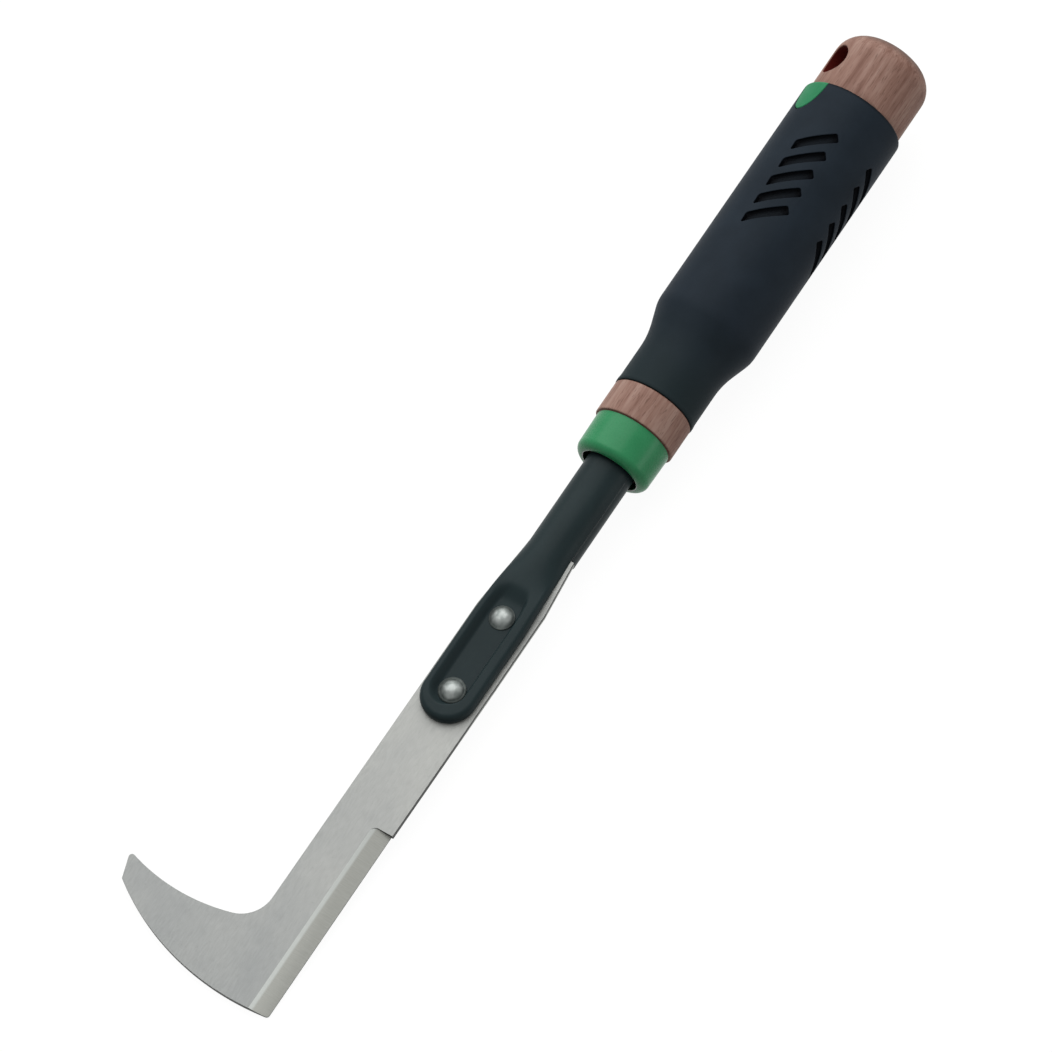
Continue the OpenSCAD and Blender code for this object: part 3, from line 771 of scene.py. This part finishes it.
def oiled_wood():
    """Oiled hardwood: red-brown, with broad darker streaks, fine fibres and short pores along
    the grain, a little paler at the collar, painted grey and dark over the end of the butt as
    painted shade where it turns from the light, and painted dark red-brown shade in its hole."""
    finish, tree, shader = new_finish("oiled hardwood", Metallic=0.0, IOR=1.45,
                                      Specular_IOR_Level=0.12)
    streaks = mottled(tree, 3.2, (9, 1, 1))
    fibres = mottled(tree, 0.6, (14, 1, 1))
    grain = add(tree, "Mix", {0: 0.34, "A": streaks, "B": fibres}, data_type="FLOAT").outputs[0]
    place = add(tree, "SeparateXYZ", {0: along_tool(tree)}).outputs
    paler = add(tree, "MapRange", {0: place["X"], 1: collar_x, 2: butt_x, 3: 0.06, 4: -0.01})
    tone = add(tree, "Math", {0: grain, 1: paler.outputs[0]}, operation="ADD").outputs[0]
    tint = add(tree, "ValToRGB", {0: tone},
               stops=((0.34, "#735247"), (0.5, "#8F6F63"), (0.66, "#A3867A")))
    pores = mottled(tree, 0.35, (9, 1, 1), detail=1)
    dark = add(tree, "MapRange", {0: pores, 1: 0.62, 2: 0.7, 3: 0, 4: 0.5}).outputs[0]
    pored = add(tree, "Mix", {0: dark, "A": tint.outputs[0], "B": linear("#553A31")},
                data_type="RGBA").outputs["Result"]
    # Painted shade: the end of the rounded butt, where it turns away from the light, is painted
    # grey and dark.
    butt_end_shade = add(tree, "MapRange", {0: place["X"], 1: butt_x - 4.5, 2: butt_x - 1.5,
                                       3: 0, 4: 0.7})
    butt_shaded = add(tree, "Mix", {0: butt_end_shade.outputs[0], "A": pored, "B": linear("#54463F")},
                 data_type="RGBA").outputs["Result"]
    # Painted shade: the hanging hole and other hollows are painted dark red-brown inside.
    tree.links.new(crevice_shade(tree, butt_shaded, "#52140F", 15), shader.inputs["Base Color"])
    rubbed = add(tree, "MapRange", {0: fibres, 1: 0.3, 2: 0.7, 3: 0.5, 4: 0.62})
    tree.links.new(rubbed.outputs[0], shader.inputs["Roughness"])
    surfaced(tree, shader, grain, 0.05)
    return finish


weighted(finished(wood, "turned_handle", [oiled_wood()], "wooden_handle"))


# Grip: a moulded rubber sleeve, blue-black and satin, stretched over the wood. Four groups of
# slanted slots are moulded into it, and it has a window for the inlay at its rear rim.

grip_r, grip_neck_r = 16.9, 13.35
shoulder_angle, shoulder_fillet, shoulder_round, rear_round = 17.7, 29.0, 12.0, 1.0
rim_lip, lip_round, lip_flat, lip_end = 0.15, 0.3, 1.2, 2.4
rear_steps, stretch_gap = 5, 0.05
slot_count, slot_groups, slot_pitch = 5, 4, 7.07
slot_w, slot_l, slot_corner, slot_depth = 2.9, 14.9, 0.6, 1.7
slot_slant, slot_inset, slot_soft, slot_cut = math.radians(38.4), 20.1, 0.25, 2.1
inlay_turn, inlay_w, inlay_l, inlay_t, inlay_gap = math.radians(-45), 11.7, 10.8, 1.3, 0.2

sleeve = [(grip_x, grip_neck_r - rim_lip), (grip_x + lip_round, grip_neck_r + rim_lip),
          (grip_x + lip_flat, grip_neck_r + rim_lip), (grip_x + lip_end, grip_neck_r)]
sleeve += arc((neck_end_x, grip_neck_r + shoulder_fillet), shoulder_fillet,
              -90, -90 + shoulder_angle, 6)
sleeve += arc((body_x, grip_r - shoulder_round), shoulder_round, 90 + shoulder_angle, 90, 6)
sleeve += arc((grip_end_x - rear_round, grip_r - rear_round), rear_round, 90, 0, rear_steps)
body_s = stations(sleeve)[-rear_steps - 1] - (grip_end_x - rear_round)
seam = math.radians(-135)
grip = flat_sheet(sleeve, grip_r, sheet_t, seam)


def inlay_block(grow, depth):
    """The inlay's outline as a block: half an ellipse that opens at the rear rim."""
    bm = bmesh.new()
    bmesh.ops.create_cone(bm, cap_ends=True, segments=72, radius1=1, radius2=1, depth=1)
    bmesh.ops.scale(bm, vec=(inlay_l + grow, inlay_w / 2 + grow, depth), verts=bm.verts)
    bmesh.ops.translate(bm, vec=(body_s + grip_end_x, inlay_turn * grip_r, 0), verts=bm.verts)
    return bm


def slot_block(s, turn, lean):
    """What one slot takes out of the flat sleeve: a block with rounded corners, leaning, and with
    its low end cut off along the handle."""
    bm = bmesh.new()
    bmesh.ops.create_cube(bm, size=1)
    bmesh.ops.scale(bm, vec=(slot_w, slot_l, 2 * slot_depth), verts=bm.verts)
    for vert in bm.verts:
        if vert.co.x > 0 and vert.co.y * lean < 0:
            vert.co.y -= math.copysign(slot_cut, vert.co.y)
    upright = [edge for edge in bm.edges
               if abs(edge.verts[0].co.z - edge.verts[1].co.z) > slot_depth]
    bmesh.ops.bevel(bm, geom=upright, affect="EDGES", offset=slot_corner, segments=4, profile=0.5,
                    material=-1)
    bmesh.ops.rotate(bm, cent=(0, 0, 0), matrix=Matrix.Rotation(-lean, 3, "Z"), verts=bm.verts)
    bmesh.ops.translate(bm, vec=(s, turn * grip_r, 0), verts=bm.verts)
    return bm


slots = [inlay_block(inlay_gap, 2 * inlay_t)]
for group in range(slot_groups):
    group_turn = (2 * math.pi * group / slot_groups - seam) % (2 * math.pi) + seam
    for k in range(slot_count):
        slots.append(slot_block(body_s + grip_end_x - slot_inset - k * slot_pitch, group_turn,
                                slot_slant * (-1 if group % 2 else 1)))
grip = carved(grip, joined(slots))
softened(grip, slot_soft, 3)
opened(grip)
rolled(grip, sleeve, grip_r, seam)
neck_inner_r, body_inner_r = neck_seat_r + stretch_gap, body_seat_r + stretch_gap
carried(grip, at_x(grip, grip_x), [(grip_x, neck_inner_r), (neck_end_x, neck_inner_r),
                                   (body_x, body_inner_r), (grip_end_x, body_inner_r)])
bmesh.ops.bridge_loops(grip, edges=at_x(grip, grip_end_x))


def black_rubber():
    """Moulded thermoplastic rubber: blue-black and satin, a little greener towards the neck, with a
    painted shadow line, black, where its rear rim meets the wood, and painted shade in its slots.
    The mould's spark-eroded texture is drawn coarser than it is, so that it shows."""
    finish, tree, shader = new_finish("moulded rubber", Metallic=0.0, IOR=1.5,
                                      Specular_IOR_Level=0.04)
    tint = add(tree, "ValToRGB", {0: mottled(tree, 12)}, stops=((0.3, "#20272E"), (0.7, "#252D35")))
    place = add(tree, "SeparateXYZ", {0: along_tool(tree)}).outputs
    at_neck = add(tree, "MapRange", {0: place["X"], 1: grip_x, 2: body_x, 3: 0.8, 4: 0}).outputs[0]
    greener = add(tree, "Mix", {0: at_neck, "A": tint.outputs[0], "B": linear("#232D2E")},
                  data_type="RGBA").outputs["Result"]
    # Painted shadow: a black line along the rear rim, where it meets the wood.
    rim_shadow_share = add(tree, "MapRange", {0: place["X"], 1: grip_end_x - 1.2, 2: grip_end_x - 0.4,
                                    3: 0, 4: 0.85}).outputs[0]
    rim_shadowed = add(tree, "Mix", {0: rim_shadow_share, "A": greener, "B": linear("#05070A")},
                data_type="RGBA").outputs["Result"]
    # Painted shade: the slots are painted near black inside.
    tree.links.new(crevice_shade(tree, rim_shadowed, "#04060A", 9), shader.inputs["Base Color"])
    surfaced(tree, shader, mottled(tree, 0.35), 0.012, (0.46, 0.58))
    return finish


weighted(finished(grip, "grip", [black_rubber()], "grip_sleeve"))


# Inlay: a green tab of the same rubber, half an ellipse, moulded into its window in the sleeve. It
# ends flush with the rear rim.

inlay_soft = 0.35
tab = inlay_block(0, inlay_t)
bmesh.ops.translate(tab, vec=(0, 0, -inlay_t / 2), verts=tab.verts)
tab_end = stations(sleeve)[-1]
bmesh.ops.bisect_plane(tab, geom=tab.verts[:] + tab.edges[:] + tab.faces[:], dist=0.001,
                       plane_co=(tab_end, 0, 0), plane_no=(1, 0, 0), clear_outer=True)
bmesh.ops.contextual_create(tab, geom=[edge for edge in tab.edges if edge.is_boundary])
softened(tab, inlay_soft, 4)
rolled(tab, sleeve, grip_r, seam)


def green_rubber():
    """The same moulded rubber, coloured green: satin, with the grip's fine texture and slight
    painted shade along its rounded edge.
    """
    finish, tree, shader = new_finish("green moulded rubber", Metallic=0.0, IOR=1.5,
                                      Specular_IOR_Level=0.08)
    tint = add(tree, "ValToRGB", {0: mottled(tree, 6)}, stops=((0.3, "#2C7850"), (0.7, "#34825A")))
    # Painted shade: the inlay is painted darker green where it curves away at its edge.
    tree.links.new(crevice_shade(tree, tint.outputs[0], "#1C4A33", 4), shader.inputs["Base Color"])
    surfaced(tree, shader, mottled(tree, 0.35), 0.012, (0.46, 0.58))
    return finish


weighted(finished(tab, "inlay", [green_rubber()], "grip_inlay"))


# Retaining pin: a plain steel pin, driven square through the wood and the tube, out of sight
# under the grip. The frame's own shape is right, so only its finish is set.

pin = frame["nodes"]["retaining_pin"]
pin.data.materials.clear()
pin.data.materials.append(rivet_steel())


# Stage: a white floor that the tool lies on. Most of what the camera sees of it is its own glow,
# so that it comes out white, and the rest is lit and keeps the tool's shadow.

floor_size, floor_drop = 6.0, 0.0005
glow_strength, glow_share = 1.12, 0.85
floor_mesh = bmesh.new()
bmesh.ops.create_grid(floor_mesh, x_segments=1, y_segments=1, size=floor_size)
mesh = bpy.data.meshes.new("floor")
floor_mesh.to_mesh(mesh)
floor_mesh.free()
floor = bpy.data.objects.new("floor", mesh)
floor.location.z = -floor_drop
bpy.context.scene.collection.objects.link(floor)
paper, tree, shader = new_finish("white paper", Metallic=0.0, Roughness=0.9)
shader.inputs["Base Color"].default_value = linear("#C4C4C2")
paths = add(tree, "LightPath").outputs
seen = add(tree, "Math", {0: paths["Is Camera Ray"], 1: paths["Is Glossy Ray"]},
           operation="MAXIMUM").outputs[0]
white = add(tree, "Math", {0: seen, 1: glow_share}, operation="MULTIPLY").outputs[0]
glow = add(tree, "Emission", {"Color": (1, 1, 1, 1), "Strength": glow_strength}).outputs[0]
mixed = add(tree, "MixShader", {0: white, 1: shader.outputs[0], 2: glow})
output = next(node for node in tree.nodes if node.type == "OUTPUT_MATERIAL")
tree.links.new(mixed.outputs[0], output.inputs["Surface"])
mesh.materials.append(paper)


# Camera: at the photograph's angle, 2 m from the tool, with a long lens. Its angles and offsets, in
# millimetres, were fitted to the round rims that the photograph shows.

view_lean, view_turn, axis_slant = (math.radians(a) for a in (18.5, 19.5, 55.414))
view_x, view_off, view_far = 169.26, -11.023, 2000.0
towards = Vector((-math.sin(view_lean), -math.cos(view_lean) * math.sin(view_turn),
                  math.cos(view_lean) * math.cos(view_turn)))
axis_seen = (Vector((1, 0, 0)) - towards.x * towards).normalized()
beside = axis_seen.cross(towards)
right = math.cos(axis_slant) * axis_seen + math.sin(axis_slant) * beside
up = math.sin(axis_slant) * axis_seen - math.cos(axis_slant) * beside
lens_data = bpy.data.cameras.new("camera")
lens_data.sensor_width, lens_data.lens = 36, 231.67
lens_data.clip_start, lens_data.clip_end = 0.05, 50
camera = bpy.data.objects.new("camera", lens_data)
bpy.context.scene.collection.objects.link(camera)
spot = laid @ (Vector((view_x, 0, 0)) + view_off * beside + view_far * towards)
turn = laid.to_3x3().normalized() @ Matrix((right, up, towards)).transposed()
camera.matrix_world = Matrix.Translation(spot) @ turn.to_4x4()
bpy.context.scene.camera = camera


# Light: a large soft box above the picture, a small one low at its right, and an even white room,
# dim on the tool and plain white in its shine and behind it.

def soft_box(name, across, upwards, back, size, power):
    """An area lamp placed by the picture's right, up and viewer's directions, in metres."""
    lamp_data = bpy.data.lights.new(name, "AREA")
    lamp_data.shape, lamp_data.size, lamp_data.energy = "DISK", size, power
    lamp = bpy.data.objects.new(name, lamp_data)
    bpy.context.scene.collection.objects.link(lamp)
    basis = laid.to_3x3().normalized()
    place = basis @ (across * right + upwards * up + back * towards)
    lamp.location = place
    lamp.rotation_euler = place.to_track_quat("Z", "Y").to_euler()


room_light = 0.16
soft_box("key", -0.25, 1.45, 0.75, 2.6, 41)
soft_box("rim", 1.2, -0.3, 0.35, 0.6, 2.5)
world = bpy.data.worlds.new("studio")
bpy.context.scene.world = world
world.use_nodes = True
tree = world.node_tree
tree.nodes.clear()
paths = add(tree, "LightPath").outputs
seen = add(tree, "Math", {0: paths["Is Camera Ray"], 1: paths["Is Glossy Ray"]},
           operation="MAXIMUM").outputs[0]
strength = add(tree, "MapRange", {0: seen, 3: room_light, 4: 1.0}).outputs[0]
room = add(tree, "Background", {"Color": (1, 1, 1, 1), "Strength": strength})
add(tree, "OutputWorld", {"Surface": room.outputs[0]})
bpy.context.scene.view_settings.view_transform = "Standard"
